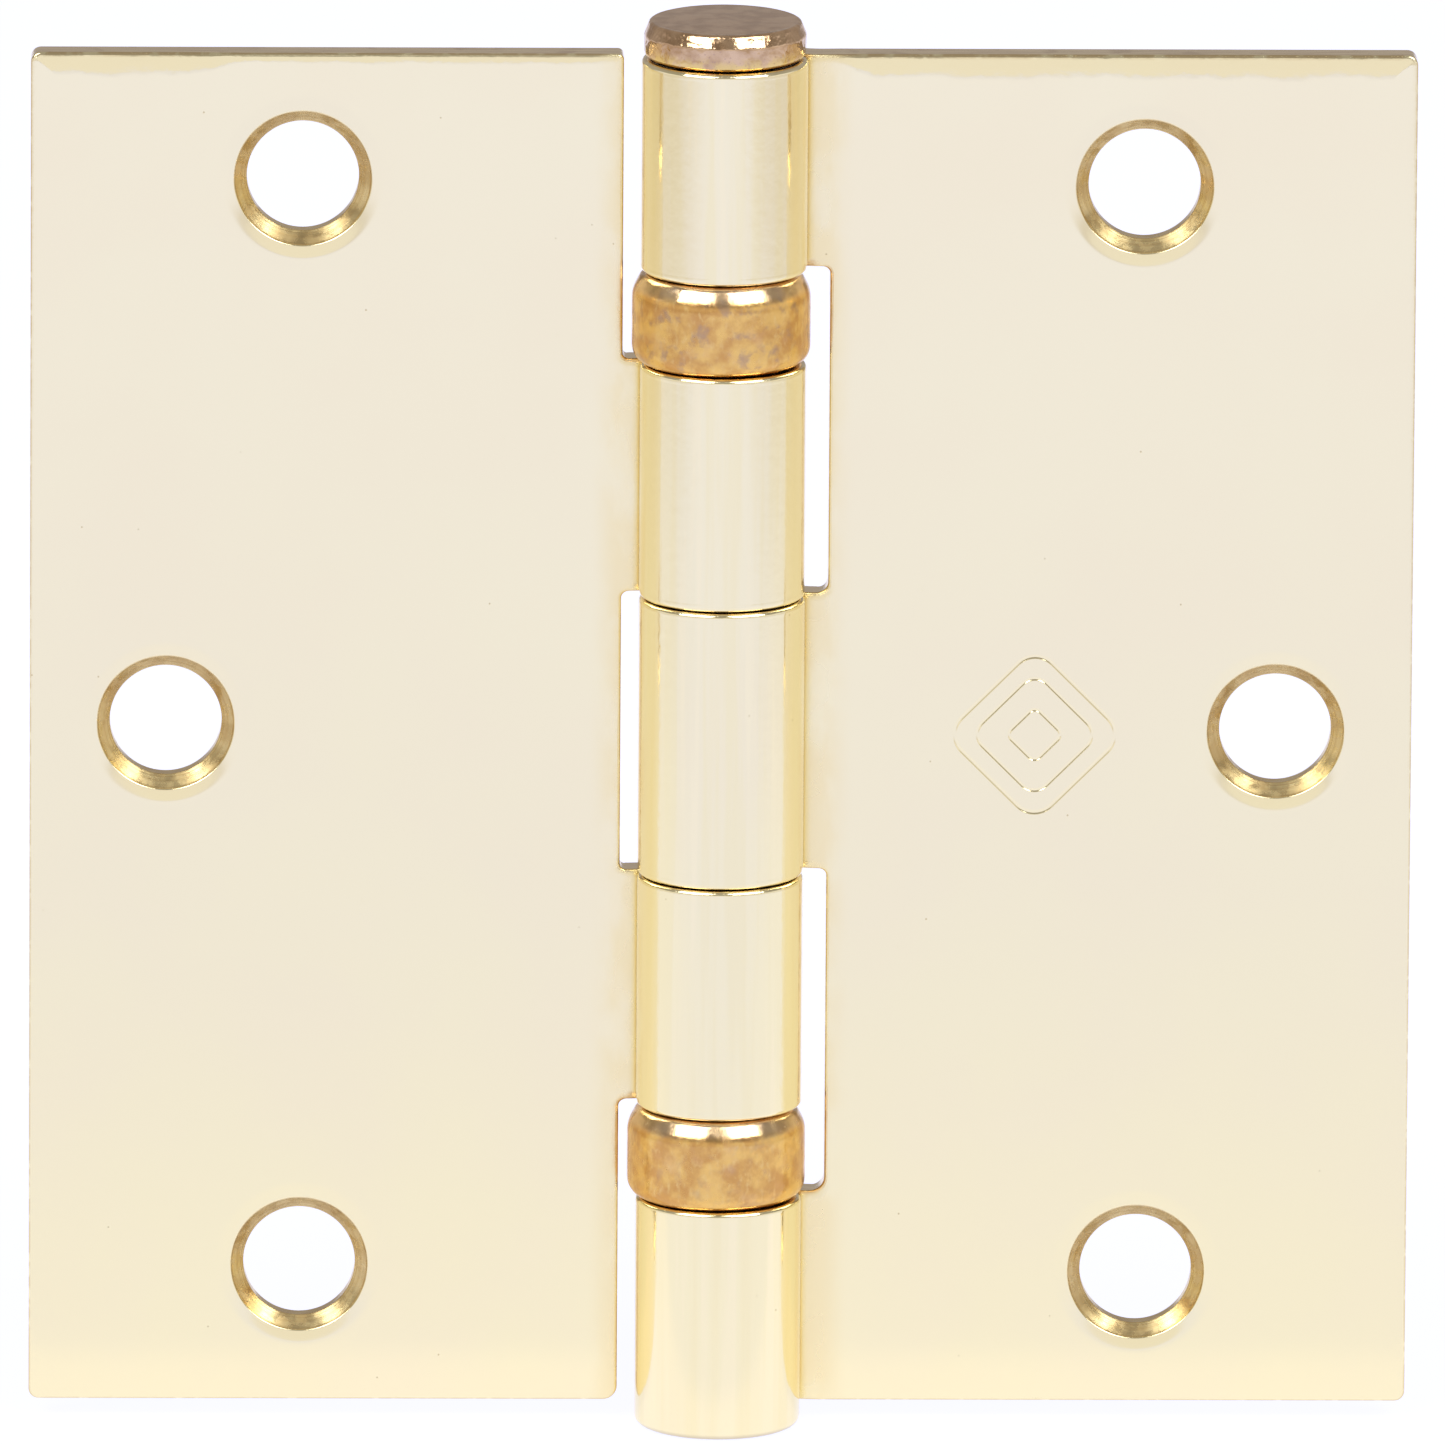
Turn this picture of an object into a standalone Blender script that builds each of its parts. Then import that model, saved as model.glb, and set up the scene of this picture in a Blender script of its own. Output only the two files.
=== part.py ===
"""A 3 1/2 inch ball bearing butt hinge, open flat.

Two stamped leaves are rolled into five knuckles round a loose pin. A bearing collar sits between the first
and second knuckles, and another between the fourth and fifth. The pin's axis is the Z axis. The jamb leaf
lies towards +X and the door leaf towards -X, with their countersunk faces towards -Y. The origin is on the
pin's axis, at the middle of the hinge's height.
"""

import math

import bmesh
import bpy
from mathutils import Matrix, Vector

MM = 0.001

# The leaves. Heights are measured from the lower edge of the leaves.
LEAF_HEIGHT = 88.9 * MM
OPEN_WIDTH = 88.9 * MM
LEAF_THICKNESS = 2.2 * MM
LEAF_FRONT_Y = 0.8 * MM
CORNER_RADIUS = 1.0 * MM
JAMB_INNER_X = 6.85 * MM
DOOR_INNER_X = 6.45 * MM

# The knuckles, as (bottom, top) heights.
KNUCKLE_OUTER_RADIUS = 5.35 * MM
ROLL_END_DEG = 367.0
ROLL_STEP_DEG = 7.5
JAMB_KNUCKLES = ((-1.2 * MM, 13.8 * MM), (35.4 * MM, 53.4 * MM), (75.1 * MM, LEAF_HEIGHT))
DOOR_KNUCKLES = ((20.1 * MM, 35.1 * MM), (53.7 * MM, 68.8 * MM))

# The screw holes, as (distance from the pin's axis, height). The door leaf's are punched a little higher.
SCREW_HOLES = ((27.0 * MM, 8.6 * MM), (35.7 * MM, LEAF_HEIGHT / 2), (27.0 * MM, LEAF_HEIGHT - 8.6 * MM))
DOOR_HOLE_RISE = 0.4 * MM
HOLE_RADIUS = 3.6 * MM
COUNTERSINK_RADIUS = 4.5 * MM
COUNTERSINK_HALF_ANGLE = math.radians(41.0)

# The pin.
PIN_RADIUS = 3.0 * MM
PIN_HEAD_RADIUS = 5.25 * MM
PIN_HEAD_HEIGHT = 2.2 * MM
PIN_HEAD_ROUNDING = 0.6 * MM
PIN_HEAD_LIFT = 0.3 * MM
PIN_TIP_HEIGHT = 0.8 * MM
PIN_TIP_LENGTH = 2.4 * MM
PIN_TIP_RADIUS = 1.4 * MM

# The bearings fill the gaps between the knuckles, and their heights are measured from the bottom of the gap.
UPPER_BEARING_BASE = 68.8 * MM
LOWER_BEARING_BASE = 13.8 * MM
SHELL_RADIUS = 5.75 * MM
SHELL_WALL = 0.6 * MM
SHELL_BOTTOM = 0.3 * MM
SHELL_TOP = 6.0 * MM
SHELL_TOP_ROUNDING = 1.2 * MM
SHELL_BOTTOM_ROUNDING = 0.9 * MM
SHELL_MOUTH_RADIUS = 4.1 * MM
RACE_INNER_RADIUS = 3.25 * MM
RACE_OUTER_RADIUS = 4.95 * MM
BOTTOM_RACE_BASE = 1.1 * MM
BOTTOM_RACE_TOP = 2.45 * MM
TOP_RACE_BASE = 3.95 * MM
TOP_RACE_FLANGE = 5.2 * MM
TOP_RACE_TOP = 6.1 * MM
TOP_RACE_BOSS_RADIUS = 3.85 * MM
BALL_COUNT = 10
BALL_RADIUS = 0.9 * MM
BALL_PITCH_RADIUS = (RACE_INNER_RADIUS + RACE_OUTER_RADIUS) / 2
BALL_HEIGHT = (BOTTOM_RACE_TOP + TOP_RACE_BASE) / 2
GROOVE_RADIUS = 1.05 * MM

# How finely round shapes are divided.
TURNED_STEPS = 40
CUTTER_STEPS = 32
ARC_STEP_DEG = 22.5
BALL_SEGMENTS = 10
BALL_RINGS = 6
SHARP_ANGLE = math.radians(35)
WELD_DISTANCE = 1e-7

# The hinge's lowest and highest points, and the height of the origin between them.
BARREL_BOTTOM = JAMB_KNUCKLES[0][0]
PIN_HEAD_TOP = LEAF_HEIGHT + PIN_HEAD_LIFT + PIN_HEAD_HEIGHT
ORIGIN_HEIGHT = (BARREL_BOTTOM + PIN_HEAD_TOP) / 2


def clear_scene():
    for obj in list(bpy.data.objects):
        bpy.data.objects.remove(obj, do_unlink=True)


def material(name, colour, roughness, metallic=1.0):
    made = bpy.data.materials.new(name)
    made.use_nodes = True
    shader = made.node_tree.nodes["Principled BSDF"]
    shader.inputs["Base Color"].default_value = (*colour, 1.0)
    shader.inputs["Roughness"].default_value = roughness
    shader.inputs["Metallic"].default_value = metallic
    return made


def add_object(name, bm, look=None):
    """Turns the bmesh into a smooth-shaded object whose heights are measured from the origin height."""
    bmesh.ops.recalc_face_normals(bm, faces=bm.faces)
    mesh = bpy.data.meshes.new(name)
    bm.to_mesh(mesh)
    bm.free()
    mesh.shade_smooth()
    mesh.set_sharp_from_angle(angle=SHARP_ANGLE)
    if look:
        mesh.materials.append(look)
    obj = bpy.data.objects.new(name, mesh)
    bpy.context.scene.collection.objects.link(obj)
    return obj


def arc(centre, radius, start_deg, end_deg, step_deg=ARC_STEP_DEG):
    """Points along an arc, both ends included."""
    steps = max(1, math.ceil(abs(end_deg - start_deg) / step_deg - 1e-6))
    points = []
    for i in range(steps + 1):
        angle = math.radians(start_deg + (end_deg - start_deg) * i / steps)
        points.append((centre[0] + radius * math.cos(angle), centre[1] + radius * math.sin(angle)))
    return points


def turned(profile, steps=TURNED_STEPS):
    """A bmesh of the (radius, height) profile spun round Z. A profile that isn't a loop ends on the axis."""
    bm = bmesh.new()
    verts = [bm.verts.new((radius, 0.0, height)) for radius, height in profile]
    edges = [bm.edges.new(pair) for pair in zip(verts, verts[1:])]
    on_axis = profile[0][0] == 0.0 and profile[-1][0] == 0.0
    if not on_axis:
        edges.append(bm.edges.new((verts[-1], verts[0])))
    bmesh.ops.spin(bm, geom=verts + edges, cent=(0, 0, 0), axis=(0, 0, 1), angle=math.tau, steps=steps)
    bmesh.ops.remove_doubles(bm, verts=bm.verts, dist=WELD_DISTANCE)
    return bm


def roll_sections(start_x):
    """The knuckle's cross-section lines from the plate's inner edge on, each a pair of (x, y) points.

    The first point of a pair is on the side that faces forwards on the plate and inwards on the roll. The
    metal leaves the plate in a reverse arc, which is tangent to the roll. It then goes round the pin by way
    of the back, the far side and the front, until its end almost meets the plate again. The two stretches
    come as two lists.
    """
    half = LEAF_THICKNESS / 2
    middle_y = LEAF_FRONT_Y + half
    roll_radius = KNUCKLE_OUTER_RADIUS - half
    reverse_radius = (start_x**2 + middle_y**2 - roll_radius**2) / (2 * (roll_radius - middle_y))
    reverse_centre = (start_x, middle_y + reverse_radius)
    join_deg = math.degrees(math.atan2(reverse_centre[1], reverse_centre[0]))
    reverse_front = arc(reverse_centre, reverse_radius + half, 270, 180 + join_deg, ROLL_STEP_DEG)
    reverse_back = arc(reverse_centre, reverse_radius - half, 270, 180 + join_deg, ROLL_STEP_DEG)
    inner = arc((0, 0), roll_radius - half, join_deg, ROLL_END_DEG, ROLL_STEP_DEG)
    outer = arc((0, 0), roll_radius + half, join_deg, ROLL_END_DEG, ROLL_STEP_DEG)
    return list(zip(reverse_front, reverse_back)), list(zip(inner, outer))[1:]


def leaf_outline(inner_x, knuckles):
    """(x, height) points round the flat plate, with the ends of each knuckle as points of its inner edge."""
    outer_x = OPEN_WIDTH / 2
    corner_x = outer_x - CORNER_RADIUS
    heights = {0.0, LEAF_HEIGHT}
    for knuckle in knuckles:
        heights.update(max(height, 0.0) for height in knuckle)
    lower_corner = arc((corner_x, CORNER_RADIUS), CORNER_RADIUS, -90, 0)
    upper_corner = arc((corner_x, LEAF_HEIGHT - CORNER_RADIUS), CORNER_RADIUS, 0, 90)
    inner_edge = [(inner_x, height) for height in sorted(heights, reverse=True)]
    return lower_corner + upper_corner + inner_edge


def plate(bm, outline, side):
    """Adds the flat plate, extruded backwards from its front outline."""
    front = [bm.verts.new((side * x, LEAF_FRONT_Y, height)) for x, height in outline]
    face = bm.faces.new(front)
    extruded = bmesh.ops.extrude_face_region(bm, geom=[face], use_keep_orig=True)["geom"]
    back = [item for item in extruded if isinstance(item, bmesh.types.BMVert)]
    bmesh.ops.translate(bm, verts=back, vec=(0, LEAF_THICKNESS, 0))


def inner_edge_corner(bm, x, y, height):
    """The plate's vertex at this place."""
    place = Vector((x, y, height))
    return min(bm.verts, key=lambda vert: (vert.co - place).length)


def roll_knuckle(bm, inner_x, side, bottom, top):
    """Rolls one knuckle from the plate's inner edge. One that reaches below the leaf widens on the roll."""
    reverse, roll = roll_sections(inner_x)
    root_bottom = max(bottom, 0.0)
    front_y, back_y = LEAF_FRONT_Y, LEAF_FRONT_Y + LEAF_THICKNESS
    x = side * inner_x
    corners = [(front_y, root_bottom), (back_y, root_bottom), (back_y, top), (front_y, top)]
    ring = [inner_edge_corner(bm, x, y, height) for y, height in corners]
    bmesh.ops.delete(bm, geom=[bm.faces.get(ring)], context="FACES_ONLY")
    rows = [(section, root_bottom) for section in reverse[1:]] + [(section, bottom) for section in roll]
    for (front, back), low in rows:
        places = [(*front, low), (*back, low), (*back, top), (*front, top)]
        new_ring = [bm.verts.new((side * px, py, pz)) for px, py, pz in places]
        for i in range(4):
            j = (i + 1) % 4
            bm.faces.new((ring[i], ring[j], new_ring[j], new_ring[i]))
        ring = new_ring
    bm.faces.new(ring)


def countersink_cutter(name, side, rise):
    """One mesh of the three countersinks: each runs from the leaf's front face through to its back."""
    depth = (COUNTERSINK_RADIUS - HOLE_RADIUS) / math.tan(COUNTERSINK_HALF_ANGLE)
    # The cutter stands proud of both faces by the leaf's thickness.
    near, far = -LEAF_THICKNESS, 2 * LEAF_THICKNESS
    mouth_radius = COUNTERSINK_RADIUS - near * math.tan(COUNTERSINK_HALF_ANGLE)
    profile = [(0.0, near), (mouth_radius, near), (HOLE_RADIUS, depth), (HOLE_RADIUS, far), (0.0, far)]
    cutters = bmesh.new()
    for x, height in SCREW_HOLES:
        one = turned(profile, CUTTER_STEPS)
        # The profile's own axis is turned to run along +Y, into the leaf.
        place = Matrix.Translation((side * x, LEAF_FRONT_Y, height + rise))
        one.transform(place @ Matrix.Rotation(-math.pi / 2, 4, "X"))
        mesh = bpy.data.meshes.new(name)
        one.to_mesh(mesh)
        one.free()
        cutters.from_mesh(mesh)
        bpy.data.meshes.remove(mesh)
    cutters.transform(Matrix.Translation((0, 0, -ORIGIN_HEIGHT)))
    cutter = add_object(name, cutters)
    cutter.hide_render = True
    cutter.display_type = "WIRE"
    return cutter


def leaf(name, side, inner_x, knuckles, hole_rise, look):
    """A leaf towards +X (side 1) or -X (side -1): the plate, its rolled knuckles and its screw holes."""
    bm = bmesh.new()
    plate(bm, leaf_outline(inner_x, knuckles), side)
    for bottom, top in knuckles:
        roll_knuckle(bm, inner_x, side, bottom, top)
    bm.transform(Matrix.Translation((0, 0, -ORIGIN_HEIGHT)))
    obj = add_object(name, bm, look)
    cut = obj.modifiers.new("Screw holes", "BOOLEAN")
    cut.operation = "DIFFERENCE"
    cut.solver = "EXACT"
    cut.object = countersink_cutter(name + "_cutter", side, hole_rise)
    return obj


def hinge_pin(look):
    """The loose pin: a flat button head with rounded edges, a shank and a tapered tip."""
    underside = LEAF_HEIGHT + PIN_HEAD_LIFT
    top = underside + PIN_HEAD_HEIGHT
    round_x = PIN_HEAD_RADIUS - PIN_HEAD_ROUNDING
    profile = [(0.0, top)]
    profile += arc((round_x, top - PIN_HEAD_ROUNDING), PIN_HEAD_ROUNDING, 90, 0)
    profile += arc((round_x, underside + PIN_HEAD_ROUNDING), PIN_HEAD_ROUNDING, 0, -90)
    profile += [
        (PIN_RADIUS, underside),
        (PIN_RADIUS, PIN_TIP_HEIGHT + PIN_TIP_LENGTH),
        (PIN_TIP_RADIUS, PIN_TIP_HEIGHT),
        (0.0, PIN_TIP_HEIGHT),
    ]
    bm = turned(profile)
    bm.transform(Matrix.Translation((0, 0, -ORIGIN_HEIGHT)))
    return add_object("hinge_pin", bm, look)


def at_height(obj, height, parent):
    """Places an object whose own heights start at a bearing's base."""
    obj.parent = parent
    obj.location.z = height
    return obj


def shell(name, look):
    """The collar's turned cup, with both edges rolled inwards. The top race's boss stands in its mouth."""
    top_centre = (SHELL_RADIUS - SHELL_TOP_ROUNDING, SHELL_TOP - SHELL_TOP_ROUNDING)
    bottom_centre = (SHELL_RADIUS - SHELL_BOTTOM_ROUNDING, SHELL_BOTTOM + SHELL_BOTTOM_ROUNDING)
    profile = [(SHELL_MOUTH_RADIUS, SHELL_TOP)]
    profile += arc(top_centre, SHELL_TOP_ROUNDING, 90, 0)
    profile += arc(bottom_centre, SHELL_BOTTOM_ROUNDING, 0, -90)
    profile.append((SHELL_MOUTH_RADIUS, SHELL_BOTTOM))
    profile.append((SHELL_MOUTH_RADIUS, SHELL_BOTTOM + SHELL_WALL))
    profile += arc(bottom_centre, SHELL_BOTTOM_ROUNDING - SHELL_WALL, -90, 0, 45)
    profile += arc(top_centre, SHELL_TOP_ROUNDING - SHELL_WALL, 0, 90, 45)
    profile.append((SHELL_MOUTH_RADIUS, SHELL_TOP - SHELL_WALL))
    return add_object(name, turned(profile), look)


def groove(face_height, opens_up):
    """The ball groove's arc across a race's face, from its outer side to its inner side."""
    half_angle = math.degrees(math.acos(abs(face_height - BALL_HEIGHT) / GROOVE_RADIUS))
    middle = 270 if opens_up else 90
    turn = -1 if opens_up else 1
    ends = (middle - turn * half_angle, middle + turn * half_angle)
    return arc((BALL_PITCH_RADIUS, BALL_HEIGHT), GROOVE_RADIUS, *ends)


def bottom_race(name, look):
    """The ring under the balls, with its groove upwards."""
    profile = [(RACE_INNER_RADIUS, BOTTOM_RACE_BASE), (RACE_INNER_RADIUS, BOTTOM_RACE_TOP)]
    profile += list(reversed(groove(BOTTOM_RACE_TOP, True)))
    profile += [(RACE_OUTER_RADIUS, BOTTOM_RACE_TOP), (RACE_OUTER_RADIUS, BOTTOM_RACE_BASE)]
    return add_object(name, turned(profile), look)


def top_race(name, look):
    """The ring over the balls, with its groove downwards and a boss that stands out of the shell's mouth."""
    profile = [
        (RACE_INNER_RADIUS, TOP_RACE_BASE),
        (RACE_INNER_RADIUS, TOP_RACE_TOP),
        (TOP_RACE_BOSS_RADIUS, TOP_RACE_TOP),
        (TOP_RACE_BOSS_RADIUS, TOP_RACE_FLANGE),
        (RACE_OUTER_RADIUS, TOP_RACE_FLANGE),
        (RACE_OUTER_RADIUS, TOP_RACE_BASE),
    ]
    profile += groove(TOP_RACE_BASE, False)
    return add_object(name, turned(profile), look)


def balls(name, parent, height, look):
    """The ring of balls on the pin's axis, which share one mesh."""
    bm = bmesh.new()
    bmesh.ops.create_uvsphere(bm, u_segments=BALL_SEGMENTS, v_segments=BALL_RINGS, radius=BALL_RADIUS)
    first = add_object(f"{name}_1", bm, look)
    for i in range(BALL_COUNT):
        ball = first if i == 0 else bpy.data.objects.new(f"{name}_{i + 1}", first.data)
        if i:
            bpy.context.scene.collection.objects.link(ball)
        angle = math.tau * i / BALL_COUNT
        at_height(ball, height + BALL_HEIGHT, parent)
        ball.location.x = BALL_PITCH_RADIUS * math.cos(angle)
        ball.location.y = BALL_PITCH_RADIUS * math.sin(angle)


def bearing(name, base, axis, bronze, steel):
    """One bearing in its gap between two knuckles."""
    height = base - ORIGIN_HEIGHT
    at_height(shell(f"{name}_bearing_shell", bronze), height, axis)
    at_height(bottom_race(f"{name}_bearing_bottom_race", steel), height, axis)
    at_height(top_race(f"{name}_bearing_top_race", steel), height, axis)
    balls(f"{name}_bearing_ball", axis, height, steel)


def main():
    clear_scene()
    brass = material("Polished brass plate", (0.83, 0.68, 0.40), 0.12)
    copper = material("Rose copper plate", (0.62, 0.40, 0.27), 0.22)
    bronze = material("Mottled bronze", (0.76, 0.50, 0.23), 0.25)
    steel = material("Bearing steel", (0.56, 0.56, 0.58), 0.2)
    axis = bpy.data.objects.new("Pin axis", None)
    bpy.context.scene.collection.objects.link(axis)
    leaf("jamb_leaf", 1, JAMB_INNER_X, JAMB_KNUCKLES, 0.0, brass).parent = axis
    leaf("door_leaf", -1, DOOR_INNER_X, DOOR_KNUCKLES, DOOR_HOLE_RISE, brass).parent = axis
    hinge_pin(copper).parent = axis
    bearing("upper", UPPER_BEARING_BASE, axis, bronze, steel)
    bearing("lower", LOWER_BEARING_BASE, axis, bronze, steel)


main()
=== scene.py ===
"""The looks of a ball bearing butt hinge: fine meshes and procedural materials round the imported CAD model.

All lengths are in metres, in the CAD model's own frame. The pin's axis is the Z axis, the jamb leaf lies
towards +X, the door leaf towards -X, and the countersunk faces look towards -Y.
"""

import math

import bmesh
import bpy
from mathutils import Matrix, Vector
from mathutils.geometry import delaunay_2d_cdt
from mathutils.noise import noise


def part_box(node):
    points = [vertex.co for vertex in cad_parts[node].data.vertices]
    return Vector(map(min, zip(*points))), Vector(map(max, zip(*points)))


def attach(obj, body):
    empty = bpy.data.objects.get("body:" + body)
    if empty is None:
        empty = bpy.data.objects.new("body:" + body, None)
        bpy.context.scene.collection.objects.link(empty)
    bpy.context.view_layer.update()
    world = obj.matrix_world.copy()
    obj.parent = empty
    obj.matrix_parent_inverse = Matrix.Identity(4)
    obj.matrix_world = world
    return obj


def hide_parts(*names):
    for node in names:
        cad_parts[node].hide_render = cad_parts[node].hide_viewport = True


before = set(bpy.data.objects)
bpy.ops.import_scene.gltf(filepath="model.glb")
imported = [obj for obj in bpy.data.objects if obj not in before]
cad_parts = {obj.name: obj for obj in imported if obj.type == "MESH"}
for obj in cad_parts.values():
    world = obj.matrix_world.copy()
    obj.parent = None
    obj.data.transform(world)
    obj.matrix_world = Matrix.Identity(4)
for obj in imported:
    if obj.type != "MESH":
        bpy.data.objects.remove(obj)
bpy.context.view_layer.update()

MM = 0.001


def mm(*values):
    """These millimetres in metres."""
    return tuple(value * MM for value in values)


# Places and sizes that the CAD model gives.
LEAF_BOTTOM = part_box("door_leaf")[0].z
LEAF_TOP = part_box("door_leaf")[1].z
BARREL_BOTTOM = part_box("jamb_leaf")[0].z
LEAF_OUTER_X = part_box("jamb_leaf")[1].x
LEAF_BACK_Y = 3.0 * MM
KNUCKLE_RADIUS = -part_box("jamb_leaf")[0].x
PIN_HEAD_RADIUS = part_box("hinge_pin")[1].x
PIN_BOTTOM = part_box("hinge_pin")[0].z
PIN_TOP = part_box("hinge_pin")[1].z
SHELL_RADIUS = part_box("upper_bearing_shell")[1].x
LEAF_HEIGHT = LEAF_TOP - LEAF_BOTTOM
BARREL_DROP = LEAF_BOTTOM - BARREL_BOTTOM

# The leaves. Heights are above the leaf's lower edge.
THICKNESS = 2.2 * MM
HALF = THICKNESS / 2
ROLL_END_DEG = 367.0
JAMB_INNER_X = 6.85 * MM
DOOR_INNER_X = 6.45 * MM
JAMB_KNUCKLES = (mm(0.0, 13.8), mm(35.4, 53.4), (75.1 * MM, LEAF_HEIGHT))
DOOR_KNUCKLES = (mm(20.1, 35.1), mm(53.7, 68.8))
HOLE_PLACES = ((27.0 * MM, 8.6 * MM), (35.7 * MM, LEAF_HEIGHT / 2), (27.0 * MM, LEAF_HEIGHT - 8.6 * MM))
DOOR_HOLE_RISE = 0.4 * MM
HOLE_RADIUS = 3.6 * MM
COUNTERSINK_RADIUS = 4.43 * MM
COUNTERSINK_HALF_ANGLE = math.radians(41.0)

# The blank's corners and fillets.
OUTER_CORNER = 0.65 * MM
ROLL_CORNER = 0.3 * MM
LEAST_CORNER = 0.12 * MM
FILLET_ZONE = 1.4 * MM
JAMB_SLOT_FILLETS = mm(0.9, 0.7)
DOOR_SLOT_FILLETS = mm(0.35, 0.35)
FILLET_BELOW_KNUCKLE = 0.45 * MM
DOOR_INNER_CORNERS = mm(0.9, 0.4)
GAP_CLOSING = 0.12 * MM

# Spacing of the outline's points on the plate, the bend, the fillets, the knuckles and the sides.
PLATE_STEP = 0.5 * MM
BEND_STEP = 0.3 * MM
FILLET_STEP = 0.2 * MM
STATION_STEP = 0.26 * MM
SIDE_STEP = 1.4 * MM
CORNER_POINTS = 9
BEND_LEAD = 1.9 * MM
CORNER_CLEARANCE = 2.0 * MM
SLOT_FOOT_CLEARANCE = 3.5 * MM
SLOT_HEAD_CLEARANCE = 3.0 * MM
ROLL_END_CLEARANCE = 1.3 * MM
KNUCKLE_CLEARANCE = 2.4 * MM

# The soft edges that stamping leaves. A share of 1 is the full width of the die roll.
DIE_ROLL_WIDTH = 1.75 * MM
DIE_ROLL_SLOPE = math.tan(math.radians(9.0))
DIE_ROLL_PARTS = (0.93, 0.85, 0.76, 0.66, 0.54, 0.42, 0.3, 0.19, 0.09)
PLAIN_EDGE_SHARE = 0.35
KNUCKLE_EDGE_SHARE = 0.36
FLAT_MARGIN = 0.15 * MM
BACK_MARGIN = 0.2 * MM
WALL_LEAN = 0.01 * MM
FRONT_ROUNDING = 0.16 * MM
PLATE_BACK_ROUNDING = 0.18 * MM
KNUCKLE_BACK_ROUNDING = 0.32 * MM
BARREL_FOOT_ROUNDING = 0.55 * MM
DIMPLE_WIDTH = 0.95 * MM
COUNTERSINK_LIP = 0.1 * MM
CONE_STEPS = 8
HOLE_BACK_ROUNDING = 0.15 * MM
HOLE_STEPS = 120

# The plain stamped mark on the jamb leaf.
MARK_X = 20.2 * MM
MARK_HEIGHT = 44.2 * MM
MARK_DEPTH = 0.05 * MM
MARK_LINES = (mm(6.0, 1.7, 0.3), mm(4.3, 1.2, 0.24), mm(2.0, 0.6, 0.24))
MARK_CORNER_STEPS = 10
# The groove's section: parts of its width and of its depth. The first and last parts are flat margins.
GROOVE_STEPS = (
    (-0.3, 0.0), (0.0, 0.0), (0.2, 0.35), (0.4, 1.0), (0.6, 1.0), (0.8, 0.35), (1.0, 0.0), (1.3, 0.0)
)

# The pin.
PIN_RADIUS = 3.0 * MM
PIN_HEAD_HEIGHT = 2.45 * MM
PIN_TIP_LENGTH = 2.4 * MM
PIN_TIP_RADIUS = 1.4 * MM
PIN_RIB_HEIGHT = 0.09 * MM
TURNED_STEPS = 160

# The bearings. Heights are above the bottom of the gap between the knuckles.
BEARING_BASES = {"upper": LEAF_BOTTOM + 68.8 * MM, "lower": LEAF_BOTTOM + 13.8 * MM}
SHELL_WALL = 0.6 * MM
SHELL_BOTTOM = 0.12 * MM
SHELL_TOP = 6.14 * MM
SHELL_MOUTH_RADIUS = 4.1 * MM
SHELL_SIDE_PLAY = 0.15 * MM
RACE_BORE_RADIUS = 3.25 * MM
RACE_RADIUS = 4.95 * MM
RACE_BOSS_RADIUS = 3.85 * MM
BOTTOM_RACE_HEIGHTS = mm(1.1, 2.45)
TOP_RACE_HEIGHTS = mm(3.95, 5.2, 6.1)
BALL_RADIUS = 0.9 * MM
BALL_COUNT = 10
BALL_PITCH_RADIUS = (RACE_BORE_RADIUS + RACE_RADIUS) / 2
BALL_HEIGHT = 3.2 * MM
GROOVE_RADIUS = 1.05 * MM

# The lamps. Powers are in watts.
SOFTBOX_AZIMUTH = math.radians(41.0)
SOFTBOX_ELEVATION = math.radians(41.0)
SOFTBOX_DISTANCE = 1.2
SOFTBOX_SIZE = (0.86, 0.6)
SOFTBOX_POWER = 9.0

# The camera.
VIEW_AZIMUTH = math.radians(-0.98)
VIEW_ELEVATION = math.radians(13.2)
VIEW_ROLL = math.radians(-0.36)
VIEW_DISTANCE = 2.4
VIEW_RIGHT = 0.1 * MM
VIEW_UP = 0.68 * MM
LENS_MM = 929.8


def smooth(value, low, high):
    """0 below low and 1 above high, with a smooth rise between them."""
    part = min(1.0, max(0.0, (value - low) / (high - low)))
    return part * part * (3 - 2 * part)


def between(first, last, part):
    return first + (last - first) * part


def link(obj):
    bpy.context.scene.collection.objects.link(obj)
    return obj


# ---- materials


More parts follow.
